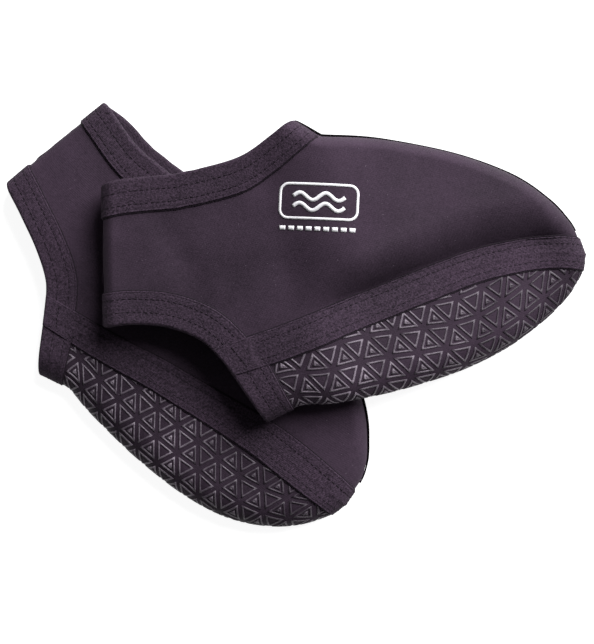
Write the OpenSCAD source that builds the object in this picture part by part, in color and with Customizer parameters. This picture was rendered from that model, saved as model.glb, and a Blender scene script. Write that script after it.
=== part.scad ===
// A pair of low-cut neoprene boots with an open heel, lying flat on their sides.
// The front boot lies over the rear one, and its toe drapes down to the floor.
// Each boot is a flattened bag: a near side up, a far side down, folded at the
// heel strap and along the middle of the sole.

/* [Boot outline] */
// Length of the sole seam, from the heel gap to the tip of the toe
foot_length = 196; // [164:1:235]
// Reach of the heel strap behind the heel gap
strap_reach = 55; // [46:1:66]
// Height of the front of the ankle above the sole seam
upper_height = 108; // [90:1:130]
// Depth of the folded sole below its seam
sole_depth = 40; // [33:1:48]

/* [Fullness] */
// Height of the near side over the fold line at the heel strap
strap_full = 9; // [8:0.5:12]
// The same over the instep of the front boot
front_full = 15; // [11:0.5:20]
// The same over the instep of the rear boot, which the front one presses
rear_full = 11; // [9:0.5:14]
// The same at the toe
toe_full = 12; // [10:0.5:15]
// Extra bulge of the front boot's toe box
bulge = 5; // [0:0.5:8]
// Depth of the valley above the sole tape
valley = 3; // [0:0.5:5]
// Depth of the far side under the fold line
under = 5; // [4.6:0.1:6]
// How far in from a fold the near side rounds over
near_round = 14; // [11:0.5:18]
// How far in from a fold the far side rounds over
far_round = 5.5; // [5:0.1:7]

/* [Materials] */
// Thickness of the neoprene
neoprene = 2.5; // [2:0.1:3.5]
// Thickness of the binding and the tape
tape_thick = 0.9; // [0.6:0.1:1.2]
// Clearance between one layer and the next
layer_gap = 0.25; // [0.15:0.05:0.4]
// Width of the tape over the sole seam
tape_w = 17.4; // [14:0.2:21]
// Width of the binding round the ankle
ankle_binding_w = 16.5; // [13.5:0.5:20]
// Width of the binding on the lower edge of the heel strap
heel_binding_w = 16; // [13:0.5:19]
// Width of the binding on the heel edge of the sole
sole_binding_w = 17; // [14:0.5:20]
// Width of the vamp seam's bead
bead_w = 2.4; // [1.6:0.1:3.2]
// Half the height of the bead
bead_half = 0.25; // [0.2:0.05:0.5]
// Thickness of a line of thread
thread = 0.5; // [0.3:0.1:0.8]
// Distance from the inner edge of a binding to its first line of thread
stitch_in = 4.2; // [3:0.2:6]
// Distance between the two lines of thread
stitch_gap = 6.8; // [5:0.2:8]

/* [Prints] */
// Distance between the triangles of the grip print
grip_pitch = 14.4; // [12:0.1:17]
// Distance between the rows of the grip print
grip_row = 12.4; // [10.4:0.1:14.8]
// Rows on each side of the sole
grip_rows = 2; // [1:1:2]
// Thickness of the prints
print_thick = 0.3; // [0.2:0.1:0.6]
// Length of the emblem's frame
emblem_w = 39; // [32:1:46]
// Height of the emblem's frame
emblem_h = 19; // [15:1:22]
// Width of the emblem's lines
emblem_line = 1.3; // [1:0.1:2]

/* [Lie of the pair] */
// Turn of the front boot on the floor
front_turn = 16.5; // [10:0.5:24]
// Turn of the rear boot on the floor
rear_turn = -32.9; // [-40:0.1:-26]
// Heel gap of the rear boot, along X from the front boot's
rear_x = -96; // [-106:1:-86]
// Heel gap of the rear boot, along Y from the front boot's
rear_y = 26; // [16:1:36]
// Length of the rear boot as it lies, against the front one
rear_draw = 0.957; // [0.9:0.005:1]
// How far the end of the rear boot's strap is bent up
strap_swing = 10.5; // [0:1:14]
// How much taller the rear boot's strap lies than the front one's
strap_stretch = 5; // [0:0.5:6]
// How far the heel of the rear boot's sole is tucked in
sole_tuck = 5; // [0:0.5:7]
// How much squarer the rear boot's toe lies
toe_square = 3; // [0:0.5:6]
// How far the rear boot's sole bends down under its toe
toe_sag = 7.5; // [0:0.5:10]
// How far the far side of the rear boot's ankle shows past the near side
ankle_gape = 4; // [0:0.5:8]
// Clearance between the two boots
boot_gap = 0.5; // [0.3:0.1:2]
// Length over which the front boot drapes down to the floor
drape_run = 90; // [70:5:110]

/* [Hidden] */

FRONT = 0;
REAR = 1;
NEAR = 1;
FAR = -1;
FOLD = 0;

// Ribs cross the boot from its top edge to the sole seam, and on to the sole's fold.
// Their ends are given in hundredths of the four outline sizes.
ANKLE_RIB = 7;
VAMP_RIB = 8;
HEEL_RIB = 4;
TOE_RIB = 14;
ANKLE_EDGE = [[-65, 96], [-47, 95.5], [-21, 93], [1.3, 90.5], [7.2, 89.5],
    [18.4, 89.3], [28, 94.6], [35, 99.5]];
VAMP_EDGE = [[40.6, 91.3], [55.6, 82.9], [73.3, 67.3], [87.6, 48.5], [95.7, 31],
    [98.7, 19], [99.7, 11]];
HEEL_EDGE = [[-100, 33], [-72, 30.3], [-41.6, 24.2], [-15.5, 13.8], [0, 0]];
SEAM = [[0, 0], [11.9, 0.6], [23, 2], [35, 4.6], [44.4, 6], [57.4, 8.2],
    [70.7, 9.8], [83.4, 8.3], [92.2, 5.2], [97.3, 2.1], [100, 0]];
SOLE_FOLD = [[5.9, -87.8], [15, -81.5], [23.5, -91], [36.1, -98], [45.8, -100.5],
    [59.4, -98], [72.6, -86], [84.1, -64], [91.4, -46], [95.4, -32], [98, -20.7]];

// Where the surfaces are cut into facets: close together at the folds
STRAP_ROUND = [for (a = [0:4]) 0.9 * (1 - cos(22.5 * a))];
BACK_RIBS = concat(STRAP_ROUND, [1.4, 2, 2.6, 3.2, 3.6]);
TOE_RIBS = [12, 12.5, 13, 13.4, 13.7, 13.9, 14];
FORE_RIBS = concat([for (k = [4:0.5:11.5]) k], TOE_RIBS);
UPPER_RIBS = concat(BACK_RIBS, FORE_RIBS);

fold_z = under + bead_half + layer_gap + tape_thick;
stack = fold_z + bead_half + max(rear_full, strap_full) + layer_gap + tape_thick
    + 2 * thread + boot_gap;

neoprene_colour = [0.25, 0.21, 0.26];
tape_colour = [0.27, 0.23, 0.28];
thread_colour = [0.15, 0.12, 0.16];
seam_colour = [0.04, 0.03, 0.05];
grip_colour = [0.45, 0.43, 0.46];
emblem_colour = [0.85, 0.85, 0.86];

// ---- Small helpers
function clamp(v, low, high) = max(low, min(high, v));
function mix(a, b, f) = a + (b - a) * f;
function smooth(v) = let (c = clamp(v, 0, 1)) c * c * (3 - 2 * c);
function unit(v) = v / max(norm(v), 1e-6);
function last(list) = list[len(list) - 1];
function reversed(list) = [for (i = [len(list) - 1:-1:0]) list[i]];

// A smooth curve through the points, at u from 0 to the last index
function curve(pts, u) =
    let (n = len(pts) - 1, i = clamp(floor(u), 0, n - 1), f = u - i,
        a = pts[max(i - 1, 0)], b = pts[i], c = pts[i + 1], d = pts[min(i + 2, n)])
    0.5 * (2 * b + (c - a) * f + (2 * a - 5 * b + 4 * c - d) * f * f
        + (3 * b - a - 3 * c + d) * f * f * f);

// ---- Outline of one boot, in its own plane: +x to the toe, +y to the ankle
function sized(p) = [
    p.x / 100 * (p.x > 0 ? foot_length : strap_reach),
    p.y / 100 * (p.y > 0 ? upper_height : sole_depth)];

function top_at(k) = sized(
    k <= ANKLE_RIB ? curve(ANKLE_EDGE, k)
    : k <= VAMP_RIB ? mix(last(ANKLE_EDGE), VAMP_EDGE[0], k - ANKLE_RIB)
    : curve(VAMP_EDGE, k - VAMP_RIB));
function seam_at(k) = sized(k <= HEEL_RIB ? curve(HEEL_EDGE, k) : curve(SEAM, k - HEEL_RIB));
function fold_at(k) = sized(curve(SOLE_FOLD, k - HEEL_RIB));

// How the rear boot bends as it lies: its strap swings up, its sole sags under the toe
// and is tucked in at the heel, and its toe spreads
function bent(boot, p) = boot == FRONT ? p :
    let (back = clamp((-p.x / strap_reach - 0.15) / 0.85, 0, 1),
        along = clamp(p.x / foot_length, 0, 1), high = p.y / upper_height,
        sag = toe_sag * sin(180 * along * along) * clamp(1 - high * 2.7, 0, 1),
        tuck = sole_tuck * clamp(-p.y / sole_depth, 0, 1) * (1 - smooth(along * 1.9)),
        spread = toe_square * smooth(along * 3 - 1.5) * smooth(high * 4))
    p + [0.6 * tuck + 0.85 * spread - 0.4 * strap_stretch * back, strap_swing * back * back
        + strap_stretch * back * high + tuck + 0.5 * spread - sag];

// A point of the boot's plane laid on the floor
function laid(boot, p) =
    let (turn = boot == FRONT ? front_turn : rear_turn,
        size = boot == FRONT ? 1 : rear_draw,
        at = boot == FRONT ? [0, 0] : [rear_x, rear_y],
        q = size * bent(boot, p))
    at + [q.x * cos(turn) - q.y * sin(turn), q.x * sin(turn) + q.y * cos(turn)];

// ---- Closed edges, where the near and far sides meet
STRAP_LINES = [for (boot = [FRONT, REAR]) [for (f = [0:0.5:1])
    laid(boot, mix(top_at(0), seam_at(0), f))]];
VAMP_LINES = [for (boot = [FRONT, REAR]) concat(
    [for (k = [ANKLE_RIB:0.5:TOE_RIB]) laid(boot, top_at(k))],
    [laid(boot, seam_at(TOE_RIB)), laid(boot, fold_at(TOE_RIB))])];
SOLE_LINES = [for (boot = [FRONT, REAR])
    [for (k = [HEEL_RIB:0.5:TOE_RIB]) laid(boot, fold_at(k))]];

function to_segment(p, a, b) =
    let (f = clamp((p - a) * (b - a) / max((b - a) * (b - a), 1e-6), 0, 1))
    norm(p - mix(a, b, f));
function to_line(p, line) =
    min([for (i = [0:len(line) - 2]) to_segment(p, line[i], line[i + 1])]);
function edge_distance(boot, w) = min(to_line(w, STRAP_LINES[boot]) * 1.3,
    to_line(w, VAMP_LINES[boot]), to_line(w, SOLE_LINES[boot]));

// The pair is centred on the floor over its own extent
REACH = layer_gap + tape_thick;
RIM = [for (boot = [FRONT, REAR]) each concat(STRAP_LINES[boot], VAMP_LINES[boot],
    SOLE_LINES[boot], [for (k = [0:0.5:4]) laid(boot, top_at(k))],
    [for (k = [0:0.5:4]) laid(boot, seam_at(k))])];
CENTRE = [(min([for (p = RIM) p.x]) + max([for (p = RIM) p.x])) / 2,
    (min([for (p = RIM) p.y]) + max([for (p = RIM) p.y]) + REACH) / 2];

// ---- Height of the skin
PEAK = laid(REAR, top_at(ANKLE_RIB));
CHORD = unit(laid(REAR, seam_at(TOE_RIB)) - PEAK);
REAR_BULGE = 14;
// Height that the rear boot gives the front one, falling to the floor past its vamp
function lift(boot, w) = boot == REAR ? 0 :
    stack * (1 - smooth(((w - PEAK) * [-CHORD.y, CHORD.x] - REAR_BULGE) / drape_run));

function crown(boot, p) =
    let (x = p.x / foot_length, y = p.y / upper_height,
        full = boot == FRONT ? front_full : rear_full,
        swell = boot == FRONT ? bulge : 0,
        above = y - 0.17 - 0.08 * sin(180 * clamp(x, 0, 1)))
    mix(strap_full, full, smooth(0.2 + x * 2)) - (full - toe_full) * smooth((x - 0.75) * 4)
        + swell * exp(-pow((x - 0.62) / 0.24, 2) - pow((y - 0.5) / 0.22, 2))
        - valley * exp(-pow(above / 0.09, 2)) * smooth((x - 0.3) * 4) * smooth((0.95 - x) * 6);

// The outer face of the neoprene at a point of the boot's plane
function skin(boot, side, p) =
    let (w = laid(boot, p),
        q = clamp(edge_distance(boot, w) / (side == FAR ? far_round : near_round), 0, 1),
        rise = sqrt(1 - (1 - q) * (1 - q)),
        high = side == NEAR ? crown(boot, p) : under)
    [w.x - CENTRE.x, w.y - CENTRE.y,
        lift(boot, w) + fold_z + side * (bead_half + high * rise)];

// ---- Ribs
function gape(boot, side, k) = boot == REAR && side == FAR
    ? ankle_gape * smooth(k / 2) * smooth((6.6 - k) / 1.5) : 0;
// A point at distance r down the rib from the top edge, or e up from the sole seam
function down_rib(boot, side, k, r) =
    let (a = top_at(k) + [0, gape(boot, side, k)], b = seam_at(k)) a + unit(b - a) * r;
function up_rib(k, e) = let (a = top_at(k), b = seam_at(k)) b + unit(a - b) * e;
function sole_rib(k, e) = let (a = seam_at(k), b = fold_at(k)) a + unit(b - a) * e;
function rib_length(boot, side, k) =
    norm(top_at(k) + [0, gape(boot, side, k)] - seam_at(k));
function sole_rib_length(k) = norm(seam_at(k) - fold_at(k));

// Distances of the upper's rows down a rib: the bindings' inner lines are among them
function low_band(k) = k < 3.4 ? heel_binding_w : tape_w / 2;
function high_band(k) = k <= 6 ? ankle_binding_w : mix(ankle_binding_w, 5, smooth((k - 6) / 2));
function upper_rows(boot, side, k) =
    let (whole = rib_length(boot, side, k) - layer_gap / 2,
        body = whole - min(low_band(k), 0.85 * whole),
        first = min(high_band(k), 0.5 * body), edge = k < ANKLE_RIB ? 0.5 : 0.25)
    [0, first * edge, first, mix(first, body, 0.33), mix(first, body, 0.67), body, whole];

function sole_rows(k) =
    let (whole = sole_rib_length(k), band = min(tape_w / 2, 0.9 * whole), rest = whole - band)
    [layer_gap / 2, band, whole - min(0.75 * rest, 14), whole - min(0.5 * rest, 7),
        whole - min(0.25 * rest, 3), whole - min(0.08 * rest, 0.8)];

// ---- Grids of skin points. A grid is a list of columns.
function upper_column(boot, side, k) = [for (r = upper_rows(boot, side, k))
    skin(boot, k == 0 ? FOLD : side, down_rib(boot, side, k, r))];
UPPER_GRID = [for (boot = [FRONT, REAR]) concat(
    [for (k = reversed(UPPER_RIBS)) if (k > 0) upper_column(boot, FAR, k)],
    [for (k = UPPER_RIBS) upper_column(boot, NEAR, k)])];

SOLE_GRID = [for (boot = [FRONT, REAR]) [for (k = FORE_RIBS) concat(
    [for (e = sole_rows(k)) skin(boot, NEAR, sole_rib(k, e))],
    [skin(boot, FOLD, fold_at(k))],
    [for (e = reversed(sole_rows(k))) skin(boot, FAR, sole_rib(k, e))])]];

TAPE_RIBS = FORE_RIBS;
function tape_column(boot, side, k) =
    let (half = tape_w / 2, high = k == HEEL_RIB ? seam_at(3.55) : up_rib(k, half),
        low = sole_rib(k, min(half, 0.95 * sole_rib_length(k))))
    [for (p = [high, seam_at(k), low]) skin(boot, k == TOE_RIB ? FOLD : side, p)];
TAPE_GRID = [for (boot = [FRONT, REAR]) concat(
    [for (k = TAPE_RIBS) tape_column(boot, NEAR, k)],
    [for (k = reversed(TAPE_RIBS)) if (k < TOE_RIB) tape_column(boot, FAR, k)])];

// Columns of the edge bindings: inner line, middle, edge
ANKLE_RIBS = concat(BACK_RIBS, [4, 4.5, 5, 5.5, 6, 6.5]);
function ankle_column(boot, side, k) =
    let (edge = down_rib(boot, side, k, 0), inner = down_rib(boot, side, k, high_band(k)))
    [for (f = [0, 0.5, 1]) skin(boot, k == 0 ? FOLD : side, mix(inner, edge, f))];
ANKLE_GRID = [for (boot = [FRONT, REAR]) concat(
    [for (k = reversed(ANKLE_RIBS)) if (k > 0) ankle_column(boot, FAR, k)],
    [for (k = ANKLE_RIBS) ankle_column(boot, NEAR, k)])];

HEEL_RIBS = [for (k = BACK_RIBS) if (k < 3.3) k];
function heel_column(boot, side, k) = [for (f = [1, 0.5, 0])
    skin(boot, k == 0 ? FOLD : side, up_rib(k, heel_binding_w * f))];
HEEL_GRID = [for (boot = [FRONT, REAR]) concat(
    [for (k = reversed(HEEL_RIBS)) if (k > 0) heel_column(boot, FAR, k)],
    [for (k = HEEL_RIBS) heel_column(boot, NEAR, k)])];

// The sole binding runs across the sole, so its columns are the sole's rows
function sole_binding_column(boot, side, f) =
    let (edge = mix(sole_rib(HEEL_RIB, tape_w / 2 + 0.4), fold_at(HEEL_RIB), f),
        inner_rib = HEEL_RIB + sole_binding_w / norm(seam_at(5) - seam_at(4)) * 0.94,
        inner = mix(sole_rib(inner_rib, tape_w / 2 + 0.4), fold_at(inner_rib), f))
    [for (g = [1, 0.5, 0]) skin(boot, f == 1 ? FOLD : side, mix(edge, inner, g))];
SOLE_STEPS = [0, 0.3, 0.5, 0.7, 0.85, 0.94, 0.985, 1];
SOLE_BINDING_GRID = [for (boot = [FRONT, REAR]) concat(
    [for (f = SOLE_STEPS) sole_binding_column(boot, NEAR, f)],
    [for (f = reversed(SOLE_STEPS)) if (f < 1) sole_binding_column(boot, FAR, f)])];

// ---- Offsets of a grid
function cell_normal(grid, i, j) =
    let (a = grid[max(i - 1, 0)][j], b = grid[min(i + 1, len(grid) - 1)][j],
        c = grid[i][max(j - 1, 0)], d = grid[i][min(j + 1, len(grid[i]) - 1)])
    unit(cross(b - a, d - c));
function flat(v) = unit([v.x, v.y, 0]);
// sign makes the normals point out of the boot
function normals(grid, sign) = [for (i = [0:len(grid) - 1])
    [for (j = [0:len(grid[i]) - 1]) sign * cell_normal(grid, i, j)]];
function offset_grid(grid, normals, h) = [for (i = [0:len(grid) - 1])
    [for (j = [0:len(grid[i]) - 1]) grid[i][j] + normals[i][j] * h]];

// Along the seam the upper and the sole share one normal. Normals lie level where the near
// and far sides meet.
UPPER_RAW = [for (grid = UPPER_GRID) normals(grid, -1)];
SOLE_RAW = [for (grid = SOLE_GRID) normals(grid, -1)];
function seam_normal(boot, side, rib) =
    let (column = len(UPPER_RIBS) - 1 + side * (len(BACK_RIBS) + rib),
        own = SOLE_RAW[boot][rib])
    unit(last(UPPER_RAW[boot][column]) + (side == NEAR ? own[0] : last(own)));
UPPER_NORMALS = [for (boot = [FRONT, REAR]) let (raw = UPPER_RAW[boot])
    [for (i = [0:len(raw) - 1]) [for (j = [0:len(raw[i]) - 1])
        let (from_fold = i - len(UPPER_RIBS) + 1, k = UPPER_RIBS[abs(from_fold)],
            closed = k == TOE_RIB || (k > ANKLE_RIB && j == 0),
            seamed = k >= HEEL_RIB && j == len(raw[i]) - 1)
        let (own = seamed ? seam_normal(boot, sign(from_fold), abs(from_fold) - len(BACK_RIBS))
            : raw[i][j])
        closed ? flat(own) : own]]];
SOLE_NORMALS = [for (boot = [FRONT, REAR]) let (raw = SOLE_RAW[boot])
    [for (i = [0:len(raw) - 1]) [for (j = [0:len(raw[i]) - 1])
        let (own = j == 0 ? seam_normal(boot, NEAR, i)
            : j == len(raw[i]) - 1 ? seam_normal(boot, FAR, i) : raw[i][j])
        i == len(raw) - 1 ? flat(own) : own]]];

// A closed solid between two grids of the same shape
module between(outer, inner, loop = false) {
    n = len(outer);
    m = len(outer[0]);
    turn = cross(outer[1][0] - outer[0][0], outer[0][1] - outer[0][0])
        * (outer[0][0] - inner[0][0]) > 0;
    points = concat([for (c = outer) each c], [for (c = inner) each c]);
    function id(i, j) = (i % n) * m + j;
    spans = loop ? n - 1 : n - 2;
    function quad(a, b, c, d) = turn ? [[a, c, b], [a, d, c]] : [[a, b, c], [a, c, d]];
    sheets = [for (i = [0:spans]) for (j = [0:m - 2]) each concat(
        quad(id(i, j), id(i + 1, j), id(i + 1, j + 1), id(i, j + 1)),
        quad(n * m + id(i, j), n * m + id(i, j + 1), n * m + id(i + 1, j + 1),
            n * m + id(i + 1, j)))];
    rims = [for (i = [0:spans]) each concat(
        quad(id(i, 0), n * m + id(i, 0), n * m + id(i + 1, 0), id(i + 1, 0)),
        quad(id(i, m - 1), id(i + 1, m - 1), n * m + id(i + 1, m - 1),
            n * m + id(i, m - 1)))];
    ends = loop ? [] : [for (j = [0:m - 2]) each concat(
        quad(id(0, j), id(0, j + 1), n * m + id(0, j + 1), n * m + id(0, j)),
        quad(id(n - 1, j), n * m + id(n - 1, j), n * m + id(n - 1, j + 1),
            id(n - 1, j + 1)))];
    polyhedron(points, concat(sheets, rims, ends), convexity = 8);
}

// A binding folded over the edge of the neoprene: a leaf outside, a leaf inside
function folded_column(column, normal, gap) =
    let (out = gap, inside = -neoprene - gap, edge = last(column),
        way = unit(edge - column[1]), n = last(normal))
    concat([for (j = [0:2]) column[j] + normal[j] * out],
        [edge + way * gap, edge + way * gap - n * neoprene],
        [for (j = [2:-1:0]) column[j] + normal[j] * inside]);
// It stands further off in its last columns, where the near side turns over the peak
peak_gap = 0.7;
peak_columns = 3;
module binding(grid, sign, stand_off = 0) {
    n = normals(grid, sign);
    function gap(i) = layer_gap + (i >= len(grid) - peak_columns ? stand_off : 0);
    function face(over) = [for (i = [0:len(grid) - 1]) folded_column(grid[i], n[i], gap(i) + over)];
    between(face(tape_thick), face(0));
}

// Lines of thread lying on the near half of a band, at a distance in from its inner edge.
function band_point(column, normal, f, across, h) =
    let (i = f < 0.5 ? 0 : 1, g = 2 * f - i)
    mix(column[i], column[i + 1], g) + unit(column[i + 1] - column[i]) * across
        + mix(normal[i], normal[i + 1], g) * h;
module threads(grid, sign, width, rows, columns) {
    n = normals(grid, sign);
    base = layer_gap + tape_thick + 0.15;
    function face(row, h) = [for (i = columns) [for (s = [-1, 1])
        band_point(grid[i], n[i], row / width, s * thread / 2, h)]];
    for (row = rows) between(face(row, base + thread), face(row, base));
}
// Columns of a grid from its middle fold on, less a few at the end, or up to the fold
function after_fold(grid, less = 0) = [(len(grid) - 1) / 2:len(grid) - 1 - less];
function before_fold(grid) = [0:(len(grid) - 1) / 2];
stitch_rows = [stitch_in, stitch_in + stitch_gap];

// ---- Marks on the skin
// A point at height h over the skin, with the normal found from its neighbours
function over_skin(boot, side, p, h) =
    let (step = 1.5, a = skin(boot, side, p - [step, 0]), b = skin(boot, side, p + [step, 0]),
        c = skin(boot, side, p - [0, step]), d = skin(boot, side, p + [0, step]),
        n = unit(cross(b - a, d - c)))
    skin(boot, side, p) + (side == FAR ? -n : n) * h;
mark_lift = 0.35;

// A stroke along a list of points of the boot's plane
module stroke(boot, side, pts, width, loop = false) {
    n = len(pts);
    function along(i) = unit(loop ? pts[(i + 1) % n] - pts[(i + n - 1) % n]
        : pts[min(i + 1, n - 1)] - pts[max(i - 1, 0)]);
    function face(h) = [for (i = [0:n - 1]) let (t = along(i), across = [-t.y, t.x])
        [for (s = [-1, 1]) over_skin(boot, side, pts[i] + across * s * width / 2, h)]];
    between(face(mark_lift + print_thick), face(mark_lift), loop);
}

// ---- Sub-parts of one boot
module upper(boot) {
    between(UPPER_GRID[boot], offset_grid(UPPER_GRID[boot], UPPER_NORMALS[boot], -neoprene));
}

module sole(boot) {
    between(SOLE_GRID[boot], offset_grid(SOLE_GRID[boot], SOLE_NORMALS[boot], -neoprene));
}

module sole_tape(boot) {
    grid = TAPE_GRID[boot];
    n = normals(grid, -1);
    between(offset_grid(grid, n, layer_gap + tape_thick), offset_grid(grid, n, layer_gap));
}

module tape_stitching(boot) {
    threads(TAPE_GRID[boot], -1, tape_w, [stitch_in, tape_w - stitch_in],
        [1:(len(TAPE_GRID[boot]) - 1) / 2]);
}

// The bead fills the gap between the near and far sides along the vamp
module vamp_seam(boot) {
    ribs = concat([for (k = [7.5:0.5:12]) k], [12.5, 13, 13.4, 13.7]);
    clearance = 0.1;
    line = [for (k = ribs) skin(boot, FOLD, top_at(k))];
    n = len(line);
    function inward(i) = let (t = unit(line[min(i + 1, n - 1)] - line[max(i - 1, 0)]))
        flat([t.y, -t.x, 0]);
    function face(h) = [for (i = [0:n - 1])
        [line[i] + [0, 0, h], line[i] + inward(i) * bead_w + [0, 0, h]]];
    between(face(bead_half - clearance), face(clearance - bead_half));
}

// A three-cornered tile between two triangles
module tile(upper, lower) {
    turned = cross(upper[1] - upper[0], upper[2] - upper[0]) * (upper[0] - lower[0]) > 0;
    points = turned ? concat(reversed(upper), reversed(lower)) : concat(upper, lower);
    polyhedron(points, [[0, 1, 2], [5, 4, 3], [0, 3, 4], [0, 4, 1], [1, 4, 5], [1, 5, 2],
        [2, 5, 3], [2, 3, 0]]);
}

// How far the skin bulges out of the plane of three of its points
function bulge_under(boot, side, corners) =
    let (c = [for (p = corners) skin(boot, side, p)], n = unit(cross(c[1] - c[0], c[2] - c[0])),
        out = side * (n.z > 0 ? n : -n), inside = [for (p = concat(
            [for (i = [0:2]) (corners[i] + corners[(i + 1) % 3]) / 2],
            [(corners[0] + corners[1] + corners[2]) / 3])) skin(boot, side, p)])
    max(0, max([for (q = inside) (q - c[0]) * out]));

// Triangles in rows along the sole, pointing up and down by turns
grip_lift = 0.45;
GRIP_FROM = 5.25;
GRIP_TO = 12.4;
GRIP_STEP = 0.05;
function row_point(row, k) = sole_rib(k, tape_w / 2 + 1.5 + (row + 0.5) * grip_row);
// The rib found at each length along a row
function row_ribs(row) = [for (k = GRIP_FROM, s = 0; k < GRIP_TO;
    s = s + norm(row_point(row, k + GRIP_STEP) - row_point(row, k)), k = k + GRIP_STEP) [s, k]];
module grip_print(boot) {
    for (row = [0:grip_rows - 1]) {
        ribs = row_ribs(row);
        count = floor(last(ribs)[0] / (grip_pitch / 2));
        for (side = [NEAR, FAR]) for (i = [0:count]) {
            up = (i + row) % 2 == 0 ? 1 : -1;
            k = lookup(i * grip_pitch / 2, ribs);
            ahead = unit(row_point(row, k + GRIP_STEP) - row_point(row, k - GRIP_STEP));
            out = [-ahead.y, ahead.x] * up;
            mid = row_point(row, k) - out * grip_row / 6;
            corners = [for (a = [90, 210, 330])
                mid + (ahead * cos(a) + out * sin(a)) * (grip_row * 2 / 3 - 2.4)];
            room = sole_rib_length(k) - tape_w / 2 - (row + 1) * grip_row;
            over = grip_lift + bulge_under(boot, side, corners);
            clear = side == NEAR || over + print_thick <= REACH;
            if (room > 0 && clear) tile([for (p = corners) over_skin(boot, side, p, over + print_thick)],
                [for (p = corners) over_skin(boot, side, p, over)]);
        }
    }
}

// A short dense row of thread across the end of the tape
module bartacks(boot) {
    ends = [up_rib(4.15, tape_w * 0.42), sole_rib(4.2, tape_w * 0.42)];
    line = [for (f = [0:0.125:1]) skin(boot, NEAR, mix(ends[0], ends[1], f))];
    base = layer_gap + tape_thick + 0.15;
    function face(h) = [for (p = line) [for (s = [-1, 1]) p + [s * thread, 0, h]]];
    between(face(base + thread), face(base));
}

// A rounded frame with two waves in it and a plain bar below
module emblem(boot, side) {
    middle = [foot_length * 0.347, upper_height * 0.6];
    lean = -19.5;
    function placed(p) = middle + [p.x * cos(lean) - p.y * sin(lean),
        p.x * sin(lean) + p.y * cos(lean)];
    corner = 4;
    flat_w = emblem_w / 2 - corner;
    flat_h = emblem_h / 2 - corner;
    function rounded(x, y, start) = [for (a = [0, 45, 90])
        placed([x * flat_w + corner * cos(start + a), y * flat_h + corner * sin(start + a)])];
    frame = concat(rounded(1, 1, 0), [for (f = [0.6, 0.2, -0.2, -0.6])
            placed([f * flat_w, emblem_h / 2])],
        rounded(-1, 1, 90), [placed([-emblem_w / 2, 0])],
        rounded(-1, -1, 180), [for (f = [-0.6, -0.2, 0.2, 0.6])
            placed([f * flat_w, -emblem_h / 2])],
        rounded(1, -1, 270), [placed([emblem_w / 2, 0])]);
    stroke(boot, side, frame, emblem_line, loop = true);
    for (y = [-3, 2.5])
        stroke(boot, side, [for (x = [-13:3.25:13]) placed([x, y + 1.8 * sin(x * 27.7)])],
            emblem_line * 1.4);
    stroke(boot, side, [for (x = [-15:7.5:15]) placed([x, -emblem_h / 2 - 5])], 2.2);
}

module front_upper() color(neoprene_colour) upper(FRONT);
module front_sole() color(neoprene_colour) sole(FRONT);
module front_sole_tape() color(tape_colour) sole_tape(FRONT);
module front_ankle_binding() color(tape_colour) binding(ANKLE_GRID[FRONT], 1, peak_gap);
module front_heel_binding() color(tape_colour) binding(HEEL_GRID[FRONT], -1);
module front_sole_binding() color(tape_colour) binding(SOLE_BINDING_GRID[FRONT], -1);
module front_vamp_seam() color(seam_colour) vamp_seam(FRONT);
module front_grip_print() color(grip_colour) grip_print(FRONT);
module front_ankle_stitching() color(thread_colour)
    threads(ANKLE_GRID[FRONT], 1, ankle_binding_w, stitch_rows,
        after_fold(ANKLE_GRID[FRONT], peak_columns + 1));
module front_heel_stitching() color(thread_colour)
    threads(HEEL_GRID[FRONT], -1, heel_binding_w, stitch_rows, after_fold(HEEL_GRID[FRONT]));
module front_sole_stitching() color(thread_colour)
    threads(SOLE_BINDING_GRID[FRONT], -1, sole_binding_w, stitch_rows,
        before_fold(SOLE_BINDING_GRID[FRONT]));
module front_tape_stitching() color(thread_colour) tape_stitching(FRONT);
module front_bartacks() color(thread_colour) bartacks(FRONT);
module front_emblem() color(emblem_colour) emblem(FRONT, NEAR);

module rear_upper() color(neoprene_colour) upper(REAR);
module rear_sole() color(neoprene_colour) sole(REAR);
module rear_sole_tape() color(tape_colour) sole_tape(REAR);
module rear_ankle_binding() color(tape_colour) binding(ANKLE_GRID[REAR], 1, peak_gap);
module rear_heel_binding() color(tape_colour) binding(HEEL_GRID[REAR], -1);
module rear_sole_binding() color(tape_colour) binding(SOLE_BINDING_GRID[REAR], -1);
module rear_vamp_seam() color(seam_colour) vamp_seam(REAR);
module rear_grip_print() color(grip_colour) grip_print(REAR);
module rear_ankle_stitching() color(thread_colour)
    threads(ANKLE_GRID[REAR], 1, ankle_binding_w, stitch_rows,
        after_fold(ANKLE_GRID[REAR], peak_columns + 1));
module rear_heel_stitching() color(thread_colour)
    threads(HEEL_GRID[REAR], -1, heel_binding_w, stitch_rows, after_fold(HEEL_GRID[REAR]));
module rear_sole_stitching() color(thread_colour)
    threads(SOLE_BINDING_GRID[REAR], -1, sole_binding_w, stitch_rows,
        before_fold(SOLE_BINDING_GRID[REAR]));
module rear_tape_stitching() color(thread_colour) tape_stitching(REAR);
module rear_bartacks() color(thread_colour) bartacks(REAR);
module rear_emblem() color(emblem_colour) emblem(REAR, FAR);

front_upper();
front_sole();
front_sole_tape();
front_ankle_binding();
front_heel_binding();
front_sole_binding();
front_vamp_seam();
front_grip_print();
front_ankle_stitching();
front_heel_stitching();
front_sole_stitching();
front_tape_stitching();
front_bartacks();
front_emblem();
rear_upper();
rear_sole();
rear_sole_tape();
rear_ankle_binding();
rear_heel_binding();
rear_sole_binding();
rear_vamp_seam();
rear_grip_print();
rear_ankle_stitching();
rear_heel_stitching();
rear_sole_stitching();
rear_tape_stitching();
rear_bartacks();
rear_emblem();
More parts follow.
